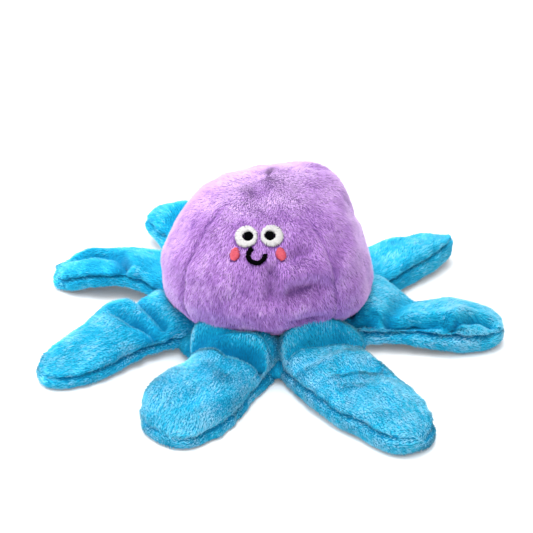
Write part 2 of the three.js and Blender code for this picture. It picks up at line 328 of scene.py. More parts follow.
def by_vertex(grid: Array) -> Array:
    """Values in rows and columns as closed_skin numbers its vertices: each pole once, the rest row by row."""
    return np.concatenate((grid[0, :1], grid[1:-1].reshape(-1, *grid.shape[2:]), grid[-1, :1]))


def closed_skin(name: str, points: Array) -> Mesh:
    """A closed surface from rows of points that close round, between two poles.

    Args:
        name: the mesh's name.
        points: rows by columns by 3. The first and last rows hold one repeated point each.

    Returns:
        The mesh, with its faces turned outwards.
    """
    rows, columns = points.shape[:2]
    vertices = by_vertex(points)
    number = 1 + np.arange((rows - 2) * columns).reshape(rows - 2, columns)
    after = np.roll(number, -1, axis=1)
    quads = np.stack((number[:-1], after[:-1], after[1:], number[1:]), -1).reshape(-1, 4)
    first = np.stack((np.zeros(columns, int), after[0], number[0]), -1)
    last = np.stack((np.full(columns, len(vertices) - 1), number[-1], after[-1]), -1)
    triangles = np.vstack((first, last))
    if volume_of(vertices, quads, triangles) < 0:
        quads, triangles = quads[:, ::-1], triangles[:, ::-1]
    corners = np.concatenate((quads.ravel(), triangles.ravel()))
    sizes = np.concatenate((np.full(len(quads), 4), np.full(len(triangles), 3)))
    mesh = bpy.data.meshes.new(name)
    fill_mesh(mesh, vertices, corners, sizes)
    return mesh


def volume_of(vertices: Array, quads: Array, triangles: Array) -> float:
    """The signed volume inside faces, as the sum of their corners' triple products.

    Args:
        vertices: one row of x, y, z each.
        quads: rows of four vertex numbers.
        triangles: rows of three vertex numbers.

    Returns:
        Six times the volume, which is negative when the faces point inwards.
    """
    parted = np.vstack((quads[:, [0, 1, 2]], quads[:, [0, 2, 3]], triangles))
    a, b, c = (vertices[parted[:, i]] for i in range(3))
    return float((a * np.cross(b, c)).sum())


# Finishes


@dataclass(frozen=True)
class Net:
    """A tree of shader nodes that is being wired."""

    tree: NodeTree

    def add(self, kind: str, values: dict | None = None, **settings) -> Node:
        """Adds a node.

        Args:
            kind: the node's kind, without the ShaderNode in front.
            values: constants for its sockets, by name or number.
            settings: its own settings, such as its operation.

        Returns:
            The node.
        """
        node = self.tree.nodes.new("ShaderNode" + kind)
        for name, value in settings.items():
            setattr(node, name, value)
        for socket, value in (values or {}).items():
            node.inputs[socket].default_value = value
        return node

    def join(self, *links: tuple[Node, str, Node, str | int]) -> None:
        """Links nodes, each link being (from a node, its output, to a node, its input)."""
        for start, output, end, entry in links:
            self.tree.links.new(start.outputs[output], end.inputs[entry])


def group_of(name: str, inputs: dict[str, str], outputs: dict[str, str]) -> tuple[Net, Node, Node]:
    """An empty shader node group with named sockets.

    Args:
        name: the group's name.
        inputs: socket names with their kinds, such as Color.
        outputs: the same for what comes out.

    Returns:
        The group's net, and the nodes for its inputs and its outputs.
    """
    group = bpy.data.node_groups.new(name, "ShaderNodeTree")
    for way, sockets in (("INPUT", inputs), ("OUTPUT", outputs)):
        for socket, kind in sockets.items():
            group.interface.new_socket(socket, in_out=way, socket_type="NodeSocket" + kind)
    return Net(group), group.nodes.new("NodeGroupInput"), group.nodes.new("NodeGroupOutput")


def strand_group() -> NodeTree:
    """The colour of a strand: painted shade at the root and painted light at the tip, and lighter or darker
    with the strand's own tint.

    Returns:
        The group.
    """
    inputs = {"Root": "Color", "Middle": "Color", "Tip": "Color", "Tint": "Float", "Along": "Float"}
    net, strand, result = group_of("strand_colour", inputs, {"Color": "Color"})
    lift = net.add("Math", {1: 1.55, 2: -0.05}, operation="MULTIPLY_ADD")
    place = net.add("Math", {1: 0.35}, operation="MULTIPLY_ADD")
    low = net.add("MapRange", {"From Min": 0.40, "From Max": 0.95})
    high = net.add("MapRange", {"From Min": 0.85, "From Max": 1.35})
    body = net.add("Mix", data_type="RGBA")
    ends = net.add("Mix", data_type="RGBA")
    strength = net.add("MapRange", {"To Min": 0.86, "To Max": 1.15})
    tinted = net.add("VectorMath", operation="SCALE")
    net.join(
        (strand, "Tint", lift, 0), (strand, "Along", place, 0), (lift, "Value", place, 2),
        (place, "Value", low, "Value"), (place, "Value", high, "Value"),
        (low, "Result", body, "Factor"), (strand, "Root", body, "A"), (strand, "Middle", body, "B"),
        (high, "Result", ends, "Factor"), (body, "Result", ends, "A"), (strand, "Tip", ends, "B"),
        (strand, "Tint", strength, "Value"), (strength, "Result", tinted, "Scale"),
        (ends, "Result", tinted, 0), (tinted, "Vector", result, "Color"),
    )
    return net.tree


def grain_group() -> NodeTree:
    """Fine speckle on Object coordinates: a height for bump, and a mask for colour.

    Returns:
        The group.
    """
    net, size, result = group_of("fine_grain", {"Scale": "Float"}, {"Height": "Float", "Mask": "Float"})
    place = net.add("TexCoord")
    fine = net.add("TexNoise", {"Detail": 4.0})
    coarse = net.add("TexNoise", {"Scale": 90.0})
    net.join(
        (place, "Object", fine, "Vector"), (place, "Object", coarse, "Vector"),
        (size, "Scale", fine, "Scale"), (fine, "Fac", result, "Height"), (coarse, "Fac", result, "Mask"),
    )
    return net.tree


@dataclass(frozen=True)
class Finish:
    """What every finish shares. Its colours are linear."""

    name: str
    roughness: float

    def shader(self, name: str, gloss: float) -> tuple[Material, Node]:
        """A new material and its Principled shader, whose constants are on its own sockets.

        Args:
            name: the material's name.
            gloss: its specular level.

        Returns:
            The material and the shader.
        """
        material = bpy.data.materials.new(name)
        material.use_nodes = True
        shader = material.node_tree.nodes["Principled BSDF"]
        shader.inputs["Roughness"].default_value = self.roughness
        shader.inputs["Specular IOR Level"].default_value = gloss
        return material, shader

    def speckled(
        self,
        name: str,
        gloss: float,
        grain: NodeTree,
        mask: str,
        scale: float,
        depth: float,
        dark: Colour,
        light: Colour,
    ) -> Material:
        """A material that wanders between two colours and has a fine bump.

        Args:
            name: the material's name.
            gloss: its specular level.
            grain: the group that gives height and mask.
            mask: the group's output that mixes the colours.
            scale: how fine the grain is.
            depth: how deep it is.
            dark: the darker colour.
            light: the lighter one.

        Returns:
            The material.
        """
        material, shader = self.shader(name, gloss)
        net = Net(material.node_tree)
        speckle = net.add("Group", {"Scale": scale}, node_tree=grain)
        colour = net.add("Mix", {"A": (*dark, 1.0), "B": (*light, 1.0)}, data_type="RGBA")
        bump = net.add("Bump", {"Distance": depth})
        net.join(
            (speckle, mask, colour, "Factor"), (speckle, "Height", bump, "Height"),
            (colour, "Result", shader, "Base Color"), (bump, "Normal", shader, "Normal"),
        )
        return material


@dataclass(frozen=True)
class Pile(Finish):
    """Plush pile: dark at the root for painted shade, light at the tip for painted light, with a soft sheen.
    """

    root: Colour
    middle: Colour
    tip: Colour
    sheen: float

    def strands(self, colour: NodeTree) -> Material:
        """The strands' material, which reads tint and place along the strand from the pile's own map.

        Args:
            colour: the group that gives a strand its colour.

        Returns:
            The material.
        """
        material, shader = self.shader(self.name, 0.0)
        shader.inputs["Sheen Weight"].default_value = self.sheen
        shader.inputs["Sheen Roughness"].default_value = 0.5
        shader.inputs["Sheen Tint"].default_value = (*(math.sqrt(part) for part in self.tip), 1.0)
        net = Net(material.node_tree)
        place = net.add("UVMap", uv_map=PILE_MAP)
        parts = net.add("SeparateXYZ")
        colours = {"Root": (*self.root, 1.0), "Middle": (*self.middle, 1.0), "Tip": (*self.tip, 1.0)}
        strand = net.add("Group", colours, node_tree=colour)
        net.join(
            (place, "UV", parts, "Vector"), (parts, "X", strand, "Tint"), (parts, "Y", strand, "Along"),
            (strand, "Color", shader, "Base Color"),
        )
        return material

    def backing(self, grain: NodeTree) -> Material:
        """The woven backing that shows between the strands, in the root's colour and darker, for painted
        shade at the bottom of the pile.
        """
        # painted shade: half the root's colour
        dark = tuple(0.5 * part for part in self.root)
        return self.speckled(self.name + "_backing", 0.15, grain, "Mask", 1400.0, 0.0004, dark, self.root)


@dataclass(frozen=True)
class Thread(Finish):
    """Embroidery or sewing thread, with a slight gloss, and painted shade where its fine bump is low."""

    dark: Colour
    light: Colour
    gloss: float = 0.4

    def material(self, grain: NodeTree) -> Material:
        """The thread's material."""
        # painted shade: the thread is darker where its fine bump is low
        return self.speckled(self.name, self.gloss, grain, "Height", 2600.0, 0.0001, self.dark, self.light)


class Wardrobe:
    """Every material of the toy, made once."""

    def __init__(self) -> None:
        """Makes the groups and the materials."""
        strand, grain = strand_group(), grain_group()
        # each pile is dark at the root for painted shade and light at the tip for painted light
        purple = Pile("purple_plush", 0.75, (0.23, 0.10, 0.39), (0.51, 0.24, 0.73), (0.79, 0.54, 0.92), 1.0)
        blue = Pile("blue_plush", 0.75, (0.001, 0.34, 0.66), (0.018, 0.585, 0.86), (0.31, 0.69, 0.91), 0.4)
        white = Thread("white_thread", 0.45, (0.42, 0.41, 0.42), (0.74, 0.73, 0.72), 0.2)
        black = Thread("black_thread", 0.8, (0.001, 0.001, 0.001), (0.003, 0.003, 0.004), 0.0)
        pink = Thread("pink_thread", 0.40, (0.38, 0.025, 0.055), (0.76, 0.10, 0.15), 0.5)
        sewing = Thread("blue_thread", 0.55, (0.01, 0.20, 0.42), (0.03, 0.33, 0.60))
        self.purple, self.purple_backing = purple.strands(strand), purple.backing(grain)
        self.blue, self.blue_backing = blue.strands(strand), blue.backing(grain)
        self.white, self.black = white.material(grain), black.material(grain)
        self.pink, self.sewing = pink.material(grain), sewing.material(grain)


# The combed pile


@dataclass(frozen=True)
class Combing:
    """How the pile of a piece of plush lies and how thick it stands."""

    density: float = 4.3e6  # strands on a square metre
    length: float = 0.0017
    half_width: float = 0.00024
    lean: float = 65.0  # degrees from upright
    swirl: float = 16.0  # degrees that the lie wanders
    swirl_size: float = 0.024
    clump: float = 0.0012  # the width of a lock, which is about twice as long as it is wide
    gather: float = 0.7  # how far the tips of a lock draw together
    contrast: float = 0.45
    stray: float = 9.0  # degrees that single strands turn aside
    nod: float = 7.0  # degrees that single strands lean more or less than the rest
    billow: float = 9.0  # degrees that the lean wanders
    billow_size: float = 0.009
    sunk: float = 0.0003  # how deep a root starts
    cloud: float = 0.14  # how much wide patches differ in tint
    cloud_size: float = 0.014
    streak: float = 0.13  # how much streaks along the lie differ
    streak_size: float = 0.0020
    lock_tint: float = 0.11  # how much whole locks differ
    strand_tint: float = 0.07  # how much single strands differ


def grow_pile(
    name: str, cloth: Mesh, lie: Array, fabric: Array, combing: Combing, seed: int, keep: Array, shade: Array
) -> Mesh:
    """Strands on a cloth: each is a flat lock with three sides, which leans the way the pile lies.

    Roots are scattered evenly by area. A strand's tip is its root plus its length along the leaning
    direction, drawn sideways towards the middle of its lock, and never below the floor. A lock is a cell of
    the fabric's own coordinates. Tint and place along the strand are kept in the strand's map. Shading
    normals are those of the cloth, rounded across the strand.

    Args:
        name: the new mesh's name.
        cloth: the closed cloth that carries the pile.
        lie: for each vertex of the cloth, the direction that the pile is combed in. Where it is much
            shorter than one, the pile stands more upright.
        fabric: for each vertex of the cloth, its place in coordinates that are short along the lie.
        combing: how the pile stands.
        seed: chooses the scatter.
        keep: for each vertex, how much of the pile stands there, from 0 to 1.
        shade: for each vertex, how much darker the pile's tint is painted, for painted shade in folds, seams
            and crevices; where it is negative, how much lighter, for painted light.

    Returns:
        A mesh with four triangles for each strand.
    """
    chance = np.random.default_rng(seed)
    cloth.calc_loop_triangles()
    corners = read(cloth.loop_triangles, "vertices", np.int32)
    places = read(cloth.vertices, "co").astype(float)
    normals = read(cloth.vertex_normals, "vector").astype(float)

    a, b, c = (places[corners[:, i]] for i in range(3))
    area = np.cumsum(np.linalg.norm(np.cross(b - a, c - a), axis=1)) / 2.0
    count = int(combing.density * area[-1])
    spots = (np.arange(count) + chance.random(count)) / count * area[-1]
    face = corners[np.searchsorted(area, spots).clip(0, len(area) - 1)]
    u, v = np.sqrt(chance.random(count)), chance.random(count)
    weights = np.stack((1.0 - u, u * (1.0 - v), u * v), -1)[..., None]
    stay = (keep[face] * weights[..., 0]).sum(axis=1) > chance.random(count)
    face, weights = face[stay], weights[stay]
    count = len(face)

    root = (places[face] * weights).sum(axis=1)
    up = unit((normals[face] * weights).sum(axis=1))
    along = (lie[face] * weights).sum(axis=1)
    along = along - up * (along * up).sum(axis=1, keepdims=True)
    laid = 0.3 + 0.7 * ease(np.linalg.norm(along, axis=1) / 0.6)
    along = unit(along)
    turn = Unevenness(combing.swirl_size, seed + 1).at(root) * math.radians(combing.swirl)
    turn += chance.normal(0.0, math.radians(combing.stray), count)
    across = np.cross(up, along)
    along = along * np.cos(turn)[:, None] + across * np.sin(turn)[:, None]
    across = np.cross(up, along)

    lean = math.radians(combing.lean) * laid + chance.normal(0.0, math.radians(combing.nod), count)
    lean += math.radians(combing.billow) * Unevenness(combing.billow_size, seed + 2).at(root)
    length = combing.length * chance.uniform(0.75, 1.2, count)
    reach = along * np.sin(lean)[:, None] + up * np.cos(lean)[:, None]
    thread = (fabric[face] * weights).sum(axis=1)
    cell = np.floor(thread / combing.clump + 0.5 * chance.random(root.shape)).astype(np.int64)
    _, lock = np.unique(cell, axis=0, return_inverse=True)
    lock = lock.ravel()
    members = np.bincount(lock)
    centre = np.stack([np.bincount(lock, root[:, i]) / members for i in range(3)], -1)[lock]
    sideways = ((centre - root) * across).sum(axis=1, keepdims=True) * across
    tip = root + reach * length[:, None] + combing.gather * sideways
    tip[:, 2] = np.maximum(tip[:, 2], FLOOR_GAP)

    width = combing.half_width * chance.uniform(0.7, 1.2, count)[:, None]
    sunk = root - up * combing.sunk
    base = (sunk + across * width, sunk - across * width, sunk + up * width * 0.9 - along * width * 0.5)
    vertices = np.stack((*base, tip), 1).reshape(-1, 3)
    first = 4 * np.arange(count)[:, None]
    pattern = np.array([[0, 2, 3], [2, 1, 3], [1, 0, 3], [0, 1, 2]])
    triangles = (first[:, None, :] + pattern[None]).reshape(-1, 3)
    mesh = triangle_mesh(name, vertices, triangles)

    above = up + np.maximum(0.3, 0.15 - up[:, 2:]) * UPWARDS
    raised, flank = above * 0.75, across * 0.6
    normals = np.stack((raised + flank, raised - flank, above, above + along * 0.3), 1)
    mesh.normals_split_custom_set_from_vertices(unit(normals.reshape(-1, 3)).tolist())
    patch = 0.5 + combing.contrast * (
        combing.cloud * Unevenness(combing.cloud_size, seed + 3).at(root)
        + combing.streak * Unevenness(combing.streak_size, seed + 4).at(thread)
        + combing.lock_tint * chance.normal(size=len(members))[lock]
        + combing.strand_tint * chance.normal(size=count)
    )
    # painted shade darkens each strand's tint, and a negative shade paints light
    tint = np.clip(patch - (shade[face] * weights[..., 0]).sum(axis=1), 0.02, 0.98)
    beside = np.array([-0.004, 0.004, 0.0, 0.0])
    height = np.array([0.02, 0.02, 0.06, 0.98])
    spread = np.stack((tint[:, None] + beside, np.broadcast_to(height, (count, 4))), -1)
    layer = mesh.uv_layers.new(name=PILE_MAP)
    layer.uv.foreach_set("vector", spread.reshape(-1, 2)[triangles.ravel()].astype(np.float32).ravel())
    return mesh


# The head


@dataclass(frozen=True)
class Swell:
    """A place where the stuffing swells the head or lets it sag: bearing, climb and spread in degrees."""

    bearing: float
    climb: float
    spread: float
    share: float


@dataclass
class Head:
    """The stuffed head: a stretched ball of four gores, with swells, seams and wrinkles.

    A point of its skin is the middle of the head plus the way (cos c cos b, cos c sin b, sin c) stretched
    by the three reaches and by one plus its swells, for a bearing b and a climb c.
    """

    radius: float = 0.0506
    rise: float = 0.046
    drop: float = 0.029
    middle: tuple[float, float, float] = (0.0, -0.009, 0.036)
    gores: tuple[str, ...] = ("right", "back", "left", "front")
    columns: int = 288
    rows: int = 200
    combing: Combing = Combing(5.0e6, 0.0021, 0.00022, lean=67.0, swirl=9.0, clump=0.0009, contrast=0.42)
    swells: tuple[Swell, ...] = (
        Swell(50, 60, 25, 0.12),
        Swell(185, 48, 26, 0.06),
        Swell(-62, 4, 13, -0.05),
        Swell(-25, -8, 20, 0.03),
        Swell(8, 26, 22, -0.05),
        Swell(-178, 34, 24, -0.055),
        Swell(-15, 8, 18, -0.035),
        Swell(87, 70, 14, -0.04),
        Swell(26, 55, 13, 0.075),
        Swell(-80, -36, 26, -0.09),
        Swell(-50, -24, 13, -0.05),
    )
    nap: float = 0.0012  # how far the cloth lies inside the outline that the pile reaches
    lumps: float = 0.0005
    lump_size: float = 0.016
    seam_depth: float = 0.0013
    seam_width: float = 0.0012
    seam_fade: float = 62.0  # the climb at which the seams no longer show
    seam_fade_over: float = 16.0  # degrees of climb over which they fade out
    seam_bare: float = 0.7  # how much of the pile is missing in a seam
    seam_bare_width: float = 0.0010
    # painted shade along the seams and in the valleys of the folds
    seam_shade: float = 0.16
    fold_shade: float = 0.24
    crown_light: float = 0.18  # painted light: how much lighter the crown's pile is tinted
    crown_from: float = 45.0  # the climb at which that begins
    crown_over: float = 30.0  # degrees of climb over which it grows
    comb_forward: float = 1.3  # how strongly the pile on the crown is combed towards the face
    comb_reach: float = 28.0  # degrees from the crown over which that fades
    hidden_below: float = 0.012  # no pile grows lower, inside the hub
    folds: tuple[Fold, ...] = (
        Fold(((-82, 36), (-82.5, 28), (-83, 18), (-85, 4)), 0.0055, 3.4, fades=True),
        Fold(((-76, 30), (-76.5, 22), (-78, 10)), -0.0018, 4.0, fades=True),
        Fold(((-78, 22), (-72, 26), (-60, 27), (-44, 25)), -0.0024, 5.5, fades=True),
        Fold(((-80, 14), (-72, 16), (-60, 17), (-42, 14)), 0.0040, 4.5, fades=True),
        Fold(((-74, 34), (-62, 37), (-48, 34)), 0.0032, 4.5, fades=True),
        Fold(((-78, 2), (-64, 4), (-48, 3)), -0.0020, 6.0, fades=True),
        Fold(((-76, -10), (-62, -8), (-46, -9)), 0.0025, 5.0, fades=True),
        Fold(((30, 70), (32, 62), (36, 52)), 0.0014, 6.0, fades=True),
    )

    def way(self, bearing: Array, climb: Array) -> Array:
        """Directions from bearings and climbs in radians."""
        level = np.cos(climb)
        return np.stack((level * np.cos(bearing), level * np.sin(bearing), np.sin(climb)), -1)

    def angles(self, way: Array) -> tuple[Array, Array]:
        """Bearings and climbs of directions, in degrees."""
        bearing = np.degrees(np.arctan2(way[..., 1], way[..., 0]))
        return bearing, np.degrees(np.arcsin(np.clip(way[..., 2], -1.0, 1.0)))

    def reaches(self, way: Array) -> Array:
        """How far the ball is stretched along X, Y and Z, with its rise above and its drop below."""
        upright = np.where(way[..., 2] > 0.0, self.rise, self.drop)
        return np.stack((np.full_like(upright, self.radius), np.full_like(upright, self.radius), upright), -1)

    def normal(self, way: Array) -> Array:
        """The outward direction of the stretched ball."""
        return unit(way / self.reaches(way))

    def swollen(self, way: Array) -> Array:
        """One plus the sum of the swells, each a bell over the angle from its middle.

        Args:
            way: directions from the middle of the head.

        Returns:
            The factor of each direction.
        """
        total = np.ones(way.shape[:-1])
        for swell in self.swells:
            towards = self.way(np.array(math.radians(swell.bearing)), np.array(math.radians(swell.climb)))
            apart = (1.0 - way @ towards) / (1.0 - math.cos(math.radians(swell.spread)))
            total += swell.share * np.exp(-apart)
        return total

    def from_seam(self, bearing: Array, climb: Array) -> Array:
        """The distance along the cloth to the nearest seam, from bearings and climbs in degrees."""
        step = 360.0 / len(self.gores)
        return np.radians(bearing % step - step / 2.0) * np.cos(np.radians(climb)) * self.radius

    def seam_shows(self, climb: Array) -> Array:
        """How far the seams draw the cloth in: fully low on the head, and not at all near the crown."""
        return ease((self.seam_fade - climb) / self.seam_fade_over)

    def relief(self, way: Array) -> Array:
        """Seams, folds and lumps: how far the cloth stands out from the swollen ball.

        Args:
            way: directions from the middle of the head.

        Returns:
            The height in each direction.
        """
        bearing, climb = self.angles(way)
        distance = self.from_seam(bearing, climb)
        height = -self.seam_depth * bell(distance, self.seam_width) * self.seam_shows(climb)
        places = np.stack((bearing, climb), -1)
        for fold in self.folds:
            height += fold.press(places)[0]
        height += self.lumps * Unevenness(self.lump_size, 5).at(way * self.radius)
        return height

    def shade(self, way: Array) -> Array:
        """Painted shade and light: how much darker the pile is tinted in the folds and seams, and lighter on
        the crown.

        Args:
            way: directions from the middle of the head.

        Returns:
            The shade in each direction.
        """
        bearing, climb = self.angles(way)
        places = np.stack((bearing, climb), -1)
        total = sum(fold.shade(places) for fold in self.folds if fold.depth > 0.0)
        light = self.crown_light * ease((climb - self.crown_from) / self.crown_over)
        dark = self.fold_shade * np.clip(total, 0.0, 1.0) - light
        seam = bell(self.from_seam(bearing, climb), self.seam_width)
        return dark + self.seam_shade * seam * self.seam_shows(climb)

    def skin(self, way: Array) -> Array:
        """Points of the cloth.

        A point is the middle, plus the stretched and swollen way, plus the relief along the normal.

        Args:
            way: directions from the middle of the head.

        Returns:
            One point for each direction.
        """
        swollen = way * self.reaches(way) * self.swollen(way)[..., None]
        out = self.relief(way) - self.nap
        return np.array(self.middle) + swollen + self.normal(way) * out[..., None]

    def on_card(self, right: Array, up: Array, climb: float, raised: Array) -> Array:
        """Points on the front of the head, reached by measuring on a flat card laid between the eyes.

        Args:
            right: distance to the right on the card.
            up: distance up the card.
            climb: the climb of the card's middle, in degrees.
            raised: height above the cloth.

        Returns:
            The points, in the shape of the distances.
        """
        towards = self.way(np.array(-math.pi / 2.0), np.array(math.radians(climb)))
        rightwards = np.array([1.0, 0.0, 0.0])
        upwards = np.cross(self.normal(towards), rightwards)
        start = towards * self.reaches(towards) * self.swollen(towards)[..., None]
        card = start + right[..., None] * rightwards + up[..., None] * upwards
        way = unit(card / self.reaches(towards))
        return self.skin(way) + self.normal(way) * raised[..., None]

    def build(self, wardrobe: Wardrobe, face: "Face") -> None:
        """Makes the cloth, which stands for the gores and their stuffing, and the pile of each gore.

        Args:
            wardrobe: the materials.
            face: the embroidery, under which no pile grows.
        """
        bearing = np.linspace(0.0, 2.0 * np.pi, self.columns, endpoint=False)
        climb = np.linspace(-np.pi / 2.0, np.pi / 2.0, self.rows)
        way = self.way(*np.meshgrid(bearing, climb))
        way[0], way[-1] = -UPWARDS, UPWARDS
        points = self.skin(way)
        cloth = closed_skin("head_cloth", points)
        piece = piece_of(cloth, wardrobe.purple_backing)
        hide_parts(*(f"head_{side}_gore" for side in self.gores), "head_stuffing")
        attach(piece, BODY)

        lie = by_vertex(np.gradient(points, axis=0))
        spots = read(cloth.vertices, "co").astype(float)
        offset = spots - self.middle
        top = np.degrees(np.arccos(unit(offset)[:, 2]))
        lie = unit(-lie) + self.comb_forward * bell(top, self.comb_reach)[:, None] * FORWARDS
        flat = np.stack((way[..., 0], way[..., 1], LOCK_SHARE * np.arcsin(way[..., 2].clip(-1.0, 1.0))), -1)
        fabric = self.radius * by_vertex(flat)
        # painted shade in the folds and seams, and painted light on the crown
        shade = by_vertex(self.shade(way))
        bare = face.covers(self, spots)
        climbs = np.arctan2(offset[:, 2], np.hypot(offset[:, 0], offset[:, 1]))
        turns = np.degrees(np.arctan2(offset[:, 1], offset[:, 0]))
        step = 360.0 / len(self.gores)
        for i, side in enumerate(self.gores):
            off = np.abs(turned_apart(turns, step * i))
            keep = (off <= step / 2.0) & ~bare & (spots[:, 2] > self.hidden_below)
            seam = np.radians(step / 2.0 - off) * np.cos(climbs) * self.radius
            bare_seam = self.seam_bare * bell(seam, self.seam_bare_width)
            keep = keep * (1.0 - bare_seam * self.seam_shows(np.degrees(climbs)))
            pile = grow_pile(f"head_{side}_pile", cloth, lie, fabric, self.combing, 40 + i, keep, shade)
            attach(piece_of(pile, wardrobe.purple), BODY)


# The embroidered face


@dataclass
class Face:
    """Two eyes, two cheeks and a smile, in satin stitch on the front gore.

    Places are measured on a card that touches the head between the eyes.
    """

    climb: float = 47.7
    tilt: float = 4.5  # degrees that the face is turned anticlockwise on the head
    shift: float = -0.0006
    eye_radius: float = 0.0053
    eye_spacing: float = 0.0120
    pupil_radius: float = 0.0025
    pupil_inward: float = 0.0012
    cheek_half_width: float = 0.0026
    cheek_half_height: float = 0.0032
    cheek_spacing: float = 0.0217
    cheek_drop: float = 0.0086
    cheek_tilt: float = 0.0003  # how much lower the right cheek sits, and higher the left one
    cheek_shift: float = -0.0008
    cheek_slope: float = 18.0  # degrees that its threads slope up towards the outside
    mouth_radius: float = 0.0038
    mouth_width: float = 0.0021
    mouth_drop: float = 0.0092
    mouth_shift: float = -0.0012
    mouth_start: float = 122.0
    mouth_sweep: float = 240.0
    eye_overlap: float = 0.0002  # how far the white threads run under the pupil
    padding_share: float = 0.8  # of the eye's radius, for the threads that pad it out
    eye_threads: int = 50
    mouth_threads: int = 44
    thread: float = 0.00036  # the radius of a thread
    row_share: float = 1.5  # of that radius, from one thread of a row to the next
    stagger: float = 0.00008  # how unevenly the threads end
    height: float = 0.0011
    thread_sides: int = 5
    thread_steps: int = 9

    def eye(self, side: Side) -> Array:
        """Where the middle of an eye lies on the card."""
        return np.array([side.value * self.eye_spacing / 2.0, 0.0])

    def cheek(self, side: Side) -> Array:
        """Where the middle of a cheek lies on the card."""
        across = side.value * self.cheek_spacing / 2.0 + self.cheek_shift
        return np.array([across, -self.cheek_drop - side.value * self.cheek_tilt])

    def mouth_spokes(self, count: int) -> Array:
        """Directions from the middle of the smile's round to places along it."""
        turn = np.radians(self.mouth_start + self.mouth_sweep * np.linspace(0.0, 1.0, count))
        return np.stack((np.cos(turn), np.sin(turn)), -1)

    def covers(self, head: Head, spots: Array) -> Array:
        """Which points of the head lie under the stitching.

        Args:
            head: what carries the face.
            spots: points of the head.

        Returns:
            One truth value for each point.
        """
        under = np.zeros(len(spots), bool)
        for side in Side:
            under |= self.near(head, spots, self.eye(side)[None], self.eye_radius)
            under |= self.near(head, spots, self.cheek(side)[None], self.cheek_half_width)
        smile = self.mouth_radius * self.mouth_spokes(24)
        smile = smile + [self.mouth_shift, -self.mouth_drop]
        under |= self.near(head, spots, smile, self.mouth_width / 2.0)
        return under

    def place(self, head: Head, card: Array, raised: Array) -> Array:
        """Points of the head from places on the card, which is turned by the tilt and moved by the shift.

        Args:
            head: what carries the face.
            card: (right, up) places on the card.
            raised: heights above the cloth.

        Returns:
            One point for each place.
        """
        turn = math.radians(self.tilt)
        right = card[..., 0] * math.cos(turn) - card[..., 1] * math.sin(turn) + self.shift
        up = card[..., 0] * math.sin(turn) + card[..., 1] * math.cos(turn)
        return head.on_card(right, up, self.climb, raised)

    def near(self, head: Head, spots: Array, card: Array, radius: float) -> Array:
        """Which points lie within a radius of any of some places on the card."""
        places = self.place(head, card, np.zeros(len(card)))
        return np.linalg.norm(spots[:, None] - places[None], axis=-1).min(axis=1) < radius

    def stitches(self, head: Head, starts: Array, ends: Array, seed: int) -> tuple[Array, Array]:
        """Satin stitches between pairs of places on the card.

        Each thread runs straight from start to end, and rises from the cloth as height (1 - (2s - 1)^4) for
        a share s of its run. Its section is a ring, closed at both ends.

        Args:
            head: what carries them.
            starts: first ends of the threads on the card.
            ends: their other ends.
            seed: chooses how the ends stagger.

        Returns:
            The vertices and the triangles.
        """
        chance = np.random.default_rng(seed)
        sides, steps, count = self.thread_sides, self.thread_steps, len(starts)
        stagger = chance.normal(0.0, self.stagger, (2, count, 2))
        share = np.linspace(0.0, 1.0, steps)
        card = (starts + stagger[0])[:, None] + share[:, None] * (ends + stagger[1] - starts)[:, None]
        rise = self.height * (1.0 - (2.0 * share - 1.0) ** 4) * chance.uniform(0.9, 1.1, (count, 1))
        path = self.place(head, card, rise)
        up = unit(self.place(head, card, rise + 0.001) - path)
        ahead = unit(np.gradient(path, axis=1))
        beside = unit(np.cross(up, ahead))
        lift = np.cross(ahead, beside)
        turn = 2.0 * np.pi * np.arange(sides) / sides
        radius = self.thread * np.where((share == 0.0) | (share == 1.0), 0.5, 1.0)[None, :, None, None]
        ring = path[:, :, None] + radius * (
            beside[:, :, None] * np.cos(turn)[:, None] + 0.8 * lift[:, :, None] * np.sin(turn)[:, None]
        )
        vertices = ring.reshape(-1, 3)
        number = np.arange(steps * sides).reshape(steps, sides)
        after = np.roll(number, -1, axis=1)
        walls = np.stack((number[:-1], after[:-1], after[1:], number[1:]), -1).reshape(-1, 4)
        fan = np.stack((np.zeros(sides - 2, int), np.arange(1, sides - 1), np.arange(2, sides)), -1)
        faces = np.vstack((walls[:, [0, 2, 1]], walls[:, [0, 3, 2]], fan, number[-1][fan][:, ::-1]))
        one = vertices[: steps * sides]
        if volume_of(one - one.mean(axis=0), np.empty((0, 4), int), faces) < 0:
            faces = faces[:, ::-1]
        offset = steps * sides * np.arange(count)[:, None, None]
        return vertices, (faces[None] + offset).reshape(-1, 3)

    def patch(self, name: str, node: str, material: Material, slot: str, *threads: tuple) -> None:
        """One embroidered piece from sets of threads, which takes the place of its CAD node.

        Args:
            name: the piece's name.
            node: the CAD node that it stands for.
            material: the thread's material.
            slot: the record's slot; not used.
            threads: pairs of vertices and triangles.
        """
        vertices = np.vstack([v for v, _ in threads])
        starts = np.cumsum([0] + [len(v) for v, _ in threads[:-1]])
        triangles = np.vstack([t + start for (_, t), start in zip(threads, starts)])
        piece = piece_of(triangle_mesh(name, vertices, triangles), material)
        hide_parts(node)
        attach(piece, BODY)

    def rungs(
        self, middle: Array, half_width: float, half_height: float, slope: float
    ) -> tuple[Array, Array]:
        """Starts and ends of parallel threads that fill an ellipse, turned by a slope in degrees.

        Args:
            middle: where the ellipse lies on the card.
            half_width: half its size along the threads.
            half_height: half its size across them.
            slope: the turn of the threads.

        Returns:
            The two ends of each thread.
        """
        count = int(2.0 * half_height / (self.row_share * self.thread))
        up = (np.arange(count) + 0.5) / count * 2.0 - 1.0
        half = np.sqrt(1.0 - up**2) * half_width
        turn = math.radians(slope)
        along = np.array([math.cos(turn), math.sin(turn)])
        across = np.array([-math.sin(turn), math.cos(turn)])
        row = middle + (up * half_height)[:, None] * across
        return row - half[:, None] * along, row + half[:, None] * along

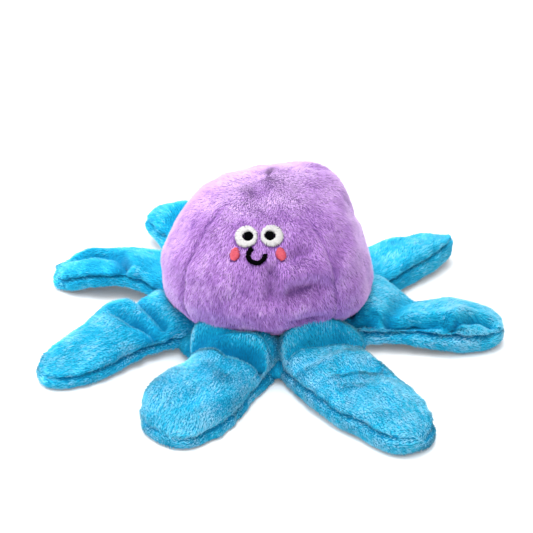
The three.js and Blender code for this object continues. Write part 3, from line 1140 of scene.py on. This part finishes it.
    def build(self, wardrobe: Wardrobe, head: Head) -> None:
        """Makes the eyes, the cheeks and the smile.

        Args:
            wardrobe: the materials.
            head: what carries them.
        """
        for side in Side:
            name, eye = side.name.lower(), self.eye(side)
            pupil = eye - [side.value * self.pupil_inward, 0.0]
            turn = np.linspace(0.0, 2.0 * np.pi, self.eye_threads, endpoint=False)
            spokes = np.stack((np.cos(turn), np.sin(turn)), -1)
            inner = pupil + (self.pupil_radius - self.eye_overlap) * spokes
            outer = eye + self.eye_radius * spokes
            under = eye + self.padding_share * self.eye_radius * spokes
            white = self.stitches(head, inner, outer, 3 + side.value)
            padding = self.stitches(head, inner, under, 13 + side.value)
            slot = "white_thread"
            self.patch(f"{name}_eye_stitches", f"{name}_eye_white", wardrobe.white, slot, white, padding)
            rungs = self.rungs(pupil, self.pupil_radius, self.pupil_radius, 90.0)
            black = self.stitches(head, *rungs, 23 + side.value)
            self.patch(f"{name}_pupil_stitches", f"{name}_pupil", wardrobe.black, "black_thread", black)
            slope = self.cheek_slope * side.value
            rungs = self.rungs(self.cheek(side), self.cheek_half_width, self.cheek_half_height, slope)
            pink = self.stitches(head, *rungs, 33 + side.value)
            self.patch(f"{name}_cheek_stitches", f"{name}_cheek", wardrobe.pink, "pink_thread", pink)
        spokes = self.mouth_spokes(self.mouth_threads)
        middle = np.array([self.mouth_shift, -self.mouth_drop])
        inner = middle + (self.mouth_radius - self.mouth_width / 2.0) * spokes
        outer = middle + (self.mouth_radius + self.mouth_width / 2.0) * spokes
        smile = self.stitches(head, inner, outer, 43)
        self.patch("mouth_stitches", "mouth", wardrobe.black, "black_thread", smile)


# The hub and the arms


@dataclass
class Hub:
    """The blue base under the head, whose rim runs out between the arms.

    Its rim is the radius plus a bell for each web between two arms, and its section is flat underneath,
    round at the rim and slightly domed on top.
    """

    radius: float = 0.050
    top: float = 0.0125
    rim: float = 0.0042
    floor: float = 0.0004
    edge_power: float = 0.35  # how square the rim's section is
    dome_power: float = 0.8  # how flat it is above and below
    lumps: float = 0.0006
    lump_size: float = 0.013
    webs: tuple[tuple[float, float, float], ...] = (  # bearing, reach and spread
        (18.0, 0.017, 13.0),
        (60.0, 0.010, 12.0),
        (100.0, 0.010, 12.0),
        (140.0, 0.010, 12.0),
        (181.0, 0.012, 12.0),
        (229.0, 0.003, 10.0),
        (280.0, 0.006, 8.0),
        (329.0, 0.004, 9.0),
    )
    columns: int = 240
    rows: int = 64
    covered: float = 0.042  # the head hides the top nearer to the middle, and no pile grows there
    sole: float = 0.003  # cloth below this height has the thinner pile of the underside
    sole_pile: float = 0.3
    # painted shade over the hub's pile, which lies in crevices under the head and between the arms
    shade: float = 0.20
    combing: Combing = field(default_factory=Combing)

    def surface(self) -> Array:
        """The cloth as rows from the middle underneath to the middle on top.

        A section runs round an angle t: it reaches out by the rim times (cos t)^p, and lies above or below
        the rim's height by half the thickness times (sin t)^q, with the edge and dome powers p and q.

        Returns:
            Points in rows and columns.
        """
        bearing = np.linspace(0.0, 2.0 * np.pi, self.columns, endpoint=False)
        turn = np.linspace(-np.pi / 2.0, np.pi / 2.0, self.rows)
        bearing, turn = np.meshgrid(bearing, turn)
        reach = self.radius + np.zeros_like(bearing)
        for middle, out, spread in self.webs:
            reach += out * bell(turned_apart(np.degrees(bearing), middle), spread)
        out = np.cos(turn) ** self.edge_power
        middle = self.rim + self.floor
        half = np.where(turn > 0.0, self.top - middle, self.rim)
        height = middle + half * np.sign(turn) * np.abs(np.sin(turn)) ** self.dome_power
        points = np.stack((reach * out * np.cos(bearing), reach * out * np.sin(bearing), height), -1)
        points[..., 2] += self.lumps * Unevenness(self.lump_size, 8).at(points) * (turn > 0.0)
        points[0], points[-1] = points[0].mean(axis=0), points[-1].mean(axis=0)
        return points

    def build(self, wardrobe: Wardrobe) -> None:
        """Makes the cloth, which stands for the hub's pieces, and its pile.

        Args:
            wardrobe: the materials.
        """
        cloth = closed_skin("hub_cloth", self.surface())
        piece = piece_of(cloth, wardrobe.blue_backing)
        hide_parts("hub_top", "hub_underside", "hub_stuffing")
        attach(piece, BODY)
        spots = read(cloth.vertices, "co").astype(float)
        lie = unit(spots * [1.0, 1.0, 0.0] + [0.0, 0.0, 1e-6])
        out = np.hypot(spots[:, 0], spots[:, 1])
        round_rim = spots[:, :2] / np.maximum(out, 0.001)[:, None] * self.radius
        fabric = np.stack((*round_rim.T, LOCK_SHARE * out), -1)
        under = spots[:, 2] < self.sole
        keep = np.where(under, self.sole_pile, 1.0) * ((out > self.covered) | under)
        # painted shade on all of the hub's pile
        shade = np.full(len(spots), self.shade)
        pile = grow_pile("hub_pile", cloth, lie, fabric, self.combing, 90, keep, shade)
        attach(piece_of(pile, wardrobe.blue), BODY)


@dataclass(frozen=True)
class Arm:
    """One stuffed arm, from under the head to its tip.

    Along and across are measured from the arm's crease, across being positive on the left of someone who
    looks out along the arm; heights are above the floor. The stations give the outline that the pile
    reaches, and the cloth lies a nap's thickness inside it. A section runs round an angle t: it reaches
    across by the half width times cos t, rises from the seam to the crest as sin t to the power of its
    fullness, and falls below it as sin t to the power of its squat, with a belly that swells beyond the
    seam, until it meets the floor.
    """

    number: int
    length: float
    left: Stations
    right: Stations
    crest: Stations
    seam_left: Stations
    seam_right: Stations
    bend: Stations = mm(0, 0, 60, 0)
    lift: Stations = mm(0, 0, 60, 0)
    fullness: Stations = ((-0.012, 0.42), (0.006, 0.55), (0.022, 0.78))
    squat: float = 0.6
    skew: float = 0.0
    belly: float = 0.0022
    groove: float = 0.0026
    groove_width: float = 0.0011
    # painted shade in the valleys of the folds
    fold_shade: float = 0.52
    painted_light: float = 0.0  # painted light: how much lighter its pile is tinted, and painted shade where it is negative
    folds: tuple[Fold, ...] = ()
    tip: float = 0.020  # the length over which it closes
    depth: float = 0.011
    root: float = -0.025
    root_rounding: float = 0.006
    nap: float = 0.0010
    floor: float = 0.0012
    crowding: float = 0.34  # how much the columns crowd towards the two seams
    shoulder: float = 0.0006  # how far it swells beyond the seam above it
    lumps: float = 0.0007
    lump_size: float = 0.015
    puckers: float = 0.0006
    pucker_size: float = 0.007
    pucker_reach: float = 0.005  # how far from the seam they show
    sole: float = 0.0015  # cloth below this height has the thinner pile of the underside
    sole_pile: float = 0.4
    bare_root: float = 0.007  # the length under the head that carries no pile
    bare_over: float = 0.004  # the length over which the pile then thickens
    groove_bare: float = 0.95  # how much of the pile is missing in the groove
    bend_start: float = -0.006  # a place before the crease
    bend_end: float = 0.010  # a place after it
    rows: int = 168
    columns: int = 144
    combing: Combing = field(default_factory=Combing)

    @property
    def name(self) -> str:
        """The arm's body and the start of its pieces' names."""
        return f"arm_{self.number}"

    def surface(self) -> tuple[Array, Array, Array]:
        """The arm's cloth in its own frame.

        The angles crowd towards the two seams, so that the groove of the seam is sharp.

        Returns:
            Its points, as rows from root to tip that close round, how deep each lies in the groove of the
            seam, from 0 to 1, and how much darker its pile is painted in the folds, for painted shade.
        """
        share = np.linspace(0.0, 1.0, self.rows)
        reach = self.length - self.nap
        along = self.root + (reach - self.root) * (1.0 - np.cos(np.pi * share)) / 2.0
        closing = rounded(along, reach - self.tip, reach, 2.2)
        closing = closing * rounded(-along, -self.root - self.root_rounding, -self.root)
        even = 2.0 * np.pi * np.arange(self.columns) / self.columns
        turn = even - self.crowding * np.sin(2.0 * even)
        cos, sin = np.cos(turn), np.sin(turn)
        upper, edge = sin >= 0.0, np.where(cos > 0.0, 1.0, -1.0)
        widths = [(through(side, along) - self.nap) * closing for side in (self.left, self.right)]
        slopes = [np.gradient(width, along) for width in widths]
        half = np.where(edge > 0.0, widths[0][:, None], widths[1][:, None])
        slope = np.where(edge > 0.0, slopes[0][:, None], slopes[1][:, None])
        left, right = through(self.seam_left, along)[:, None], through(self.seam_right, along)[:, None]
        seam = right + (left - right) * (1.0 + cos) / 2.0
        crest = (through(self.crest, along) - self.nap)[:, None] - (left + right) / 2.0

        # the section, above and below the seam
        above = crest * closing[:, None] ** 0.85 * np.abs(sin) ** through(self.fullness, along)[:, None]
        above = above * (1.0 + self.skew * cos)
        below = self.depth * closing[:, None] ** 0.6 * np.abs(sin) ** self.squat
        height = np.where(upper, seam + above, seam - below)
        bulge = np.where(upper, self.shoulder, self.belly) * np.abs(np.sin(2.0 * turn)) * closing[:, None]
        across = half * cos + edge * bulge
        places = np.stack((np.broadcast_to(along[:, None], across.shape), across), -1)

        # the folds, which press on the upper side only, with painted shade in their valleys
        over = ease(sin / 0.35) * closing[:, None]
        shift = np.zeros_like(places)
        dark = np.zeros_like(height)
        for fold in self.folds:
            dark = dark + fold.shade(places) * over
            rise, slide = fold.press(places)
            height = height + rise * over
            shift = shift + slide * over[..., None]

        # the groove of the seam, the puckers beside it, and the lumps of the stuffing
        uneven = Unevenness(self.pucker_size, 120 + self.number)
        pucker = uneven.at(np.stack((*np.moveaxis(places, -1, 0), height), -1))
        sunk = bell(height - seam, self.groove_width) * closing[:, None] ** 0.5
        out = unit(np.stack((-slope, edge * np.ones_like(slope)), -1))
        wave = self.puckers * pucker * bell(height - seam, self.pucker_reach) * closing[:, None]
        places = places + shift + out * (wave - self.groove * sunk)[..., None]
        points = np.stack((places[..., 0], places[..., 1] + through(self.bend, along)[:, None], height), -1)
        lumps = Unevenness(self.lump_size, 100 + self.number).at(points) * closing[:, None]
        points[..., 2] += self.lumps * lumps * sin
        points[..., 2] = np.maximum(points[..., 2], self.floor + through(self.lift, along)[:, None])
        points[0], points[-1] = points[0].mean(axis=0), points[-1].mean(axis=0)
        return points, sunk, self.fold_shade * np.clip(dark, 0.0, 1.0)

    def build(self, wardrobe: Wardrobe) -> None:
        """Makes the arm's cloth and pile, in the frame of its crease.

        Args:
            wardrobe: the materials.
        """
        joint = next(item for item in frame["joints"] if item["child"] == self.name)
        out = unit(np.cross(UPWARDS, joint["axis"]))
        left = np.cross(UPWARDS, out)
        crease = np.array([joint["pos_m"][0], joint["pos_m"][1], 0.0])
        local, sunk, dark = self.surface()
        points = crease + local[..., :1] * out + local[..., 1:2] * left + local[..., 2:] * UPWARDS
        cloth = closed_skin(f"{self.name}_cloth", points)
        piece = piece_of(cloth, wardrobe.blue_backing)
        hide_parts(*(f"{self.name}_{part}" for part in ("top", "underside", "stuffing")))

        flow = np.gradient(points, axis=0)
        flow[0], flow[-1] = flow[1], flow[-2]
        lie = unit(by_vertex(flow))
        spots = read(cloth.vertices, "co").astype(float)
        reach = (spots - crease) @ out
        under = spots[:, 2] < self.sole
        keep = np.where(under, self.sole_pile, 1.0)
        keep = keep * ease((reach - self.root - self.bare_root) / self.bare_over)
        keep = keep * (1.0 - self.groove_bare * by_vertex(sunk) ** 0.6)
        fabric = np.stack((LOCK_SHARE * reach, (spots - crease) @ left, spots[:, 2]), -1)
        # painted shade in the folds, less the arm's painted light
        shade = by_vertex(dark) - self.painted_light
        pile = grow_pile(f"{self.name}_pile", cloth, lie, fabric, self.combing, 60 + self.number, keep, shade)
        strands = piece_of(pile, wardrobe.blue)
        for item in (piece, strands):
            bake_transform(item)


def arms() -> list[Arm]:
    """The eight arms, anticlockwise from the right.

    Returns:
        One arm for each number.
    """
    return [
        Arm(
            1, 0.0575, bend=mm(0, 0, 25, 0, 57, 3.5), skew=0.12, squat=0.8, painted_light=0.07,
            groove=0.0034, groove_width=0.0014,
            lift=mm(-24, 0, -4, 3.5, 10, 4.5, 26, 2.5, 40, 0),
            left=mm(-24, 22, 0, 21, 13, 17.5, 30, 16.5, 45, 15.5),
            right=mm(-24, 20, 0, 17, 12, 15.5, 24, 15, 36, 14.5, 47, 13),
            crest=mm(
                -24, 18, -13, 24.5, -6, 26, 1, 23, 6, 20, 12, 17.5, 16, 17.8, 26, 20.5, 45, 18.5, 58, 15,
            ),
            seam_left=mm(-20, 8, 20, 8, 57, 9),
            seam_right=mm(-20, 9, 10, 10.5, 30, 11, 57, 9),
            folds=(
                Fold(mm(4, -12.5, 18, -11.5, 26, -10, 33, -11), 0.0045, 0.0028, 0.002, 0.002),
                Fold(mm(36, -8.5, 44, -5, 50, -4), 0.0050, 0.0028, 0.002, 0.002),
                Fold(mm(4, -14, 7, 0, 11, 12), 0.0030, 0.004),
                Fold(mm(-17, -13, -12.5, -8, -9.5, 2), 0.0090, 0.0026, fades=True),
                Fold(mm(-21, -20, -13, -17, -6, -17.5), 0.0100, 0.0045),
            ),
        ),
        Arm(
            2, 0.0600, skew=-0.06, painted_light=-0.06, lift=mm(0, 1.5, 30, 1.5, 60, 3.5), groove=0.0032,
            left=mm(-24, 18, 0, 18, 18, 20.5, 30, 19, 45, 14.5),
            right=mm(-24, 18, 0, 15.5, 18, 14, 38, 11.5, 50, 10),
            crest=mm(-22, 18, -6, 18, 4, 16, 26, 20, 46, 18, 60, 17),
            seam_left=mm(-20, 7, 20, 7, 60, 10),
            seam_right=mm(-20, 8, 14, 11, 35, 12.5, 60, 14.5),
        ),
        Arm(
            3, 0.060,
            left=mm(-24, 18, 0, 17.5, 26, 19, 45, 16),
            right=mm(-24, 18, 0, 17.5, 26, 19, 45, 16),
            crest=mm(-22, 18, -6, 18, 4, 14, 26, 18, 46, 15, 60, 10),
            seam_left=mm(-20, 7, 60, 8),
            seam_right=mm(-20, 6, 60, 6),
            folds=(Fold(mm(2, -14, 6, 0, 3, 14), 0.004, 0.003, 0.001, 0.001),),
        ),
        Arm(
            4, 0.0575, bend=mm(0, 0, 30, 2, 58, 8), painted_light=-0.05,
            left=mm(-24, 18, 0, 17, 26, 18.5, 43, 16),
            right=mm(-24, 18, 0, 17, 26, 16.5, 43, 15),
            crest=mm(-22, 18, -6, 18, 4, 15, 26, 18.5, 44, 23, 56, 20),
            seam_left=mm(-20, 6, 10, 7, 56, 15),
            seam_right=mm(-20, 7, 10, 8, 56, 17),
            folds=(Fold(mm(30, 14, 36, 3, 40, -10), 0.003, 0.0035),),
        ),
        Arm(
            5, 0.0622, bend=mm(0, 0, 30, 0, 59, 4), skew=-0.14, squat=0.9, belly=0.0008, painted_light=-0.07,
            lift=mm(-20, 0, 0, 3.5, 12, 6.5, 30, 6.5, 46, 2, 56, 0),
            left=mm(-24, 18, 0, 14, 20, 13.5, 34, 16, 46, 16),
            right=mm(-24, 18, 0, 19, 20, 19, 34, 17, 46, 13, 54, 11),
            crest=mm(-22, 19, -6, 20, 4, 19.5, 20, 20, 36, 18.5, 48, 15.5, 60, 10.5),
            seam_left=mm(-20, 8, 0, 10.5, 15, 13.5, 35, 12.5, 60, 6.5),
            seam_right=mm(-20, 8, 20, 11, 59, 9),
            folds=(
                Fold(mm(46, -2, 36, -2, 26, 1, 19, 9), 0.0050, 0.0034, 0.002, 0.0008),
                Fold(mm(-11, 20, -6.5, 15, -4, 3.5, -3.5, -10), 0.0075, 0.0022, fades=True),
            ),
        ),
        Arm(
            6, 0.0640, bend=mm(0, 0, 20, 0.5, 43, 5, 62, 7), skew=-0.10, squat=0.9, belly=0.0010, painted_light=0.02,
            lift=mm(-24, 0, 0, 3, 15, 3, 30, 1, 45, 0),
            left=mm(-24, 18, 4, 15, 22, 16.5, 38, 17, 50, 15),
            right=mm(-24, 19, 2, 20, 10, 19.5, 18, 21, 26, 18, 36, 14.5, 48, 12.5),
            crest=mm(
                -24, 15, -14, 19, -8, 22, 1, 20.5, 4.5, 19.5, 11, 22, 20, 21.5, 28, 19, 45, 15.5, 64, 11,
            ),
            seam_left=mm(-20, 8, 20, 7.5, 63, 6),
            seam_right=mm(-20, 8, 20, 9, 63, 8),
            folds=(
                Fold(mm(20.5, -13, 16.5, -4, 13.5, 5, 8, 13), 0.0090, 0.0036, fades=True),
                Fold(mm(13, 4, 8, 12, 3, 20), 0.0050, 0.0028),
                Fold(mm(7, -19, 4, -4, 1, 10), 0.0055, 0.0025),
                Fold(mm(-12.5, -20, -10, -10, -9, 0, -9, 12), 0.0060, 0.0020, fades=True),
                Fold(mm(-20, -21, -10, -20, 1, -21.5), 0.0080, 0.0055),
            ),
        ),
        Arm(
            7, 0.0588, skew=0.06, painted_light=0.09,
            left=mm(-24, 22, 0, 20.5, 11, 19, 25, 18.8, 41, 16.5, 50, 14),
            right=mm(-24, 22, -3, 19, 4, 16, 10, 15, 20, 20.2, 33, 24.2, 47, 22),
            crest=mm(-24, 15, -12, 27, -3, 31, 1.5, 27.5, 6, 23, 12, 20.5, 24, 20.5, 45, 17, 61, 10),
            seam_left=mm(-20, 7, 10, 5.5, 61, 5.5),
            seam_right=mm(-20, 7, 20, 7, 61, 6.5),
            folds=(
                Fold(mm(3.2, -14, 3.6, -4, 4.2, 6, 2.8, 14, 1.2, 21), 0.0075, 0.0026, 0.002, 0.0015),
                Fold(mm(5.2, 5, 3.6, 13, 2, 21), 0.0060, 0.0034),
                Fold(mm(0.5, -12, -1, -2, -3.6, 9, -6.2, 21), 0.0045, 0.0017),
            ),
        ),
        Arm(
            8, 0.0722, fold_shade=0.36, painted_light=0.10,
            left=mm(-24, 20, 1, 19, 7, 16, 25, 17, 40, 17, 55, 17),
            right=mm(-24, 20, 0, 22.5, 18, 23, 40, 20.5, 55, 15.5),
            crest=mm(-24, 15, -14, 25, -6, 30, -1, 23.5, 4, 19.5, 14, 20.5, 28, 19, 50, 18, 73, 11),
            seam_left=mm(-20, 8, 20, 9, 73, 7),
            seam_right=mm(-20, 8, 10, 9.5, 60, 9.5, 73, 9),
            folds=(
                Fold(mm(-3.5, -19, -2, -6, 0, 6, 2.2, 16), 0.0060, 0.0026, 0.002, 0.0015),
                Fold(mm(-11, 8, -9, 15, -5, 22), 0.0080, 0.0055),
                Fold(mm(19.5, -8, 25.5, 7), 0.0025, 0.0045),
            ),
        ),
    ]


# The studio


def aim(place: tuple, target: tuple) -> tuple[float, float, float]:
    """The turn that points an object's -Z from a place at a target, with its top up."""
    return tuple((Vector(target) - Vector(place)).to_track_quat("-Z", "Y").to_euler())


def seen_node(net: Net) -> Node:
    """A node whose value is 1 for what the camera sees, also in gloss and through glass, and 0 for light.

    Args:
        net: the tree that it is added to.

    Returns:
        The node.
    """
    path = net.add("LightPath")
    direct, seen = (net.add("Math", operation="MAXIMUM") for _ in range(2))
    net.join(
        (path, "Is Camera Ray", direct, 0), (path, "Is Glossy Ray", direct, 1),
        (direct, "Value", seen, 0), (path, "Is Transmission Ray", seen, 1),
    )
    return seen


@dataclass
class Studio:
    """A white floor and backdrop, soft lamps, and the camera at the photograph's place."""

    camera: tuple[float, float, float] = (0.0574, -0.6104, 0.364)
    target: tuple[float, float, float] = (-0.00155, 0.0019, 0.030)
    lens: float = 98.5
    floor_size: float = 6.0
    lit: tuple[float, float, float] = (0.0, 0.0, 0.03)
    lamps: tuple[tuple, ...] = (  # name, place, size and power in watts
        ("left_softbox", (-1.0, 0.15, 0.45), 0.7, 8.8),
        ("back_softbox", (0.0, 0.80, 1.00), 0.9, 4.0),
        ("top_softbox", (-0.1, -0.05, 1.25), 0.8, 13.5),
        ("front_softbox", (0.1, -0.80, 1.15), 0.9, 8.6),
    )

    def paper(self) -> Material:
        """White paper that keeps shadows near the toy, and glows to the camera's eye further out.

        Returns:
            The material.
        """
        material = bpy.data.materials.new("white_paper")
        material.use_nodes = True
        net = Net(material.node_tree)
        shader = net.tree.nodes["Principled BSDF"]
        shader.inputs["Base Color"].default_value = (0.86, 0.86, 0.86, 1.0)
        shader.inputs["Roughness"].default_value = 0.9
        shader.inputs["Specular IOR Level"].default_value = 0.1
        seen, glow = seen_node(net), net.add("Emission")
        spot = net.add("TexCoord")
        far = net.add("VectorMath", operation="LENGTH")
        fade = net.add("MapRange", {"From Min": 0.20, "From Max": 0.80, "To Min": 0.14, "To Max": 1.00})
        level = net.add("Math", operation="MULTIPLY")
        both = net.add("AddShader")
        net.join(
            (spot, "Object", far, 0), (far, "Value", fade, "Value"), (fade, "Result", level, 1),
            (seen, "Value", level, 0), (level, "Value", glow, "Strength"), (shader, "BSDF", both, 0),
            (glow, "Emission", both, 1), (both, "Shader", net.tree.nodes["Material Output"], "Surface"),
        )
        return material

    def world(self) -> None:
        """Even light from all round, and white where the camera looks past the floor."""
        world = bpy.data.worlds.new("studio")
        bpy.context.scene.world = world
        world.use_nodes = True
        net = Net(world.node_tree)
        back = net.tree.nodes["Background"]
        back.inputs["Color"].default_value = (1.0, 1.0, 1.0, 1.0)
        level = net.add("MapRange", {"To Min": 0.39, "To Max": 1.0})
        net.join((seen_node(net), "Value", level, "Value"), (level, "Result", back, "Strength"))

    def lamp(self, name: str, place: tuple, size: float, power: float) -> None:
        """A square softbox that faces the toy.

        Args:
            name: its name.
            place: where it hangs.
            size: its width.
            power: its power in watts.
        """
        data = bpy.data.lights.new(name, "AREA")
        data.size, data.energy = size, power
        light = add_object(name, data)
        light.location, light.rotation_euler = place, aim(place, self.lit)

    def build(self) -> None:
        """Makes the floor, the light and the camera."""
        half = self.floor_size / 2.0
        corners = np.array([(-half, -half, 0.0), (half, -half, 0.0), (half, half, 0.0), (-half, half, 0.0)])
        mesh = bpy.data.meshes.new("floor")
        fill_mesh(mesh, corners, np.arange(4), np.array([4]))
        mesh.materials.append(self.paper())
        add_object("floor", mesh)
        self.world()
        for lamp in self.lamps:
            self.lamp(*lamp)
        data = bpy.data.cameras.new("camera")
        data.lens, data.sensor_width = self.lens, 36.0
        camera = add_object("camera", data)
        camera.location, camera.rotation_euler = self.camera, aim(self.camera, self.target)
        bpy.context.scene.camera = camera
        bpy.context.scene.view_settings.view_transform = "Standard"
        log.info("studio: camera at %s", self.camera)


def main() -> None:
    """Builds the studio, the head with its face, the hub and the arms."""
    logging.basicConfig(level=logging.INFO, format="%(name)s %(message)s")
    Studio().build()
    wardrobe = Wardrobe()
    head, face = Head(), Face()
    head.build(wardrobe, face)
    face.build(wardrobe, head)
    Hub().build(wardrobe)
    for arm in arms():
        arm.build(wardrobe)
    stitching = frame["nodes"]["neck_stitching"].data.materials
    stitching.clear()
    stitching.append(wardrobe.sewing)


if __name__ == "__main__":
    main()
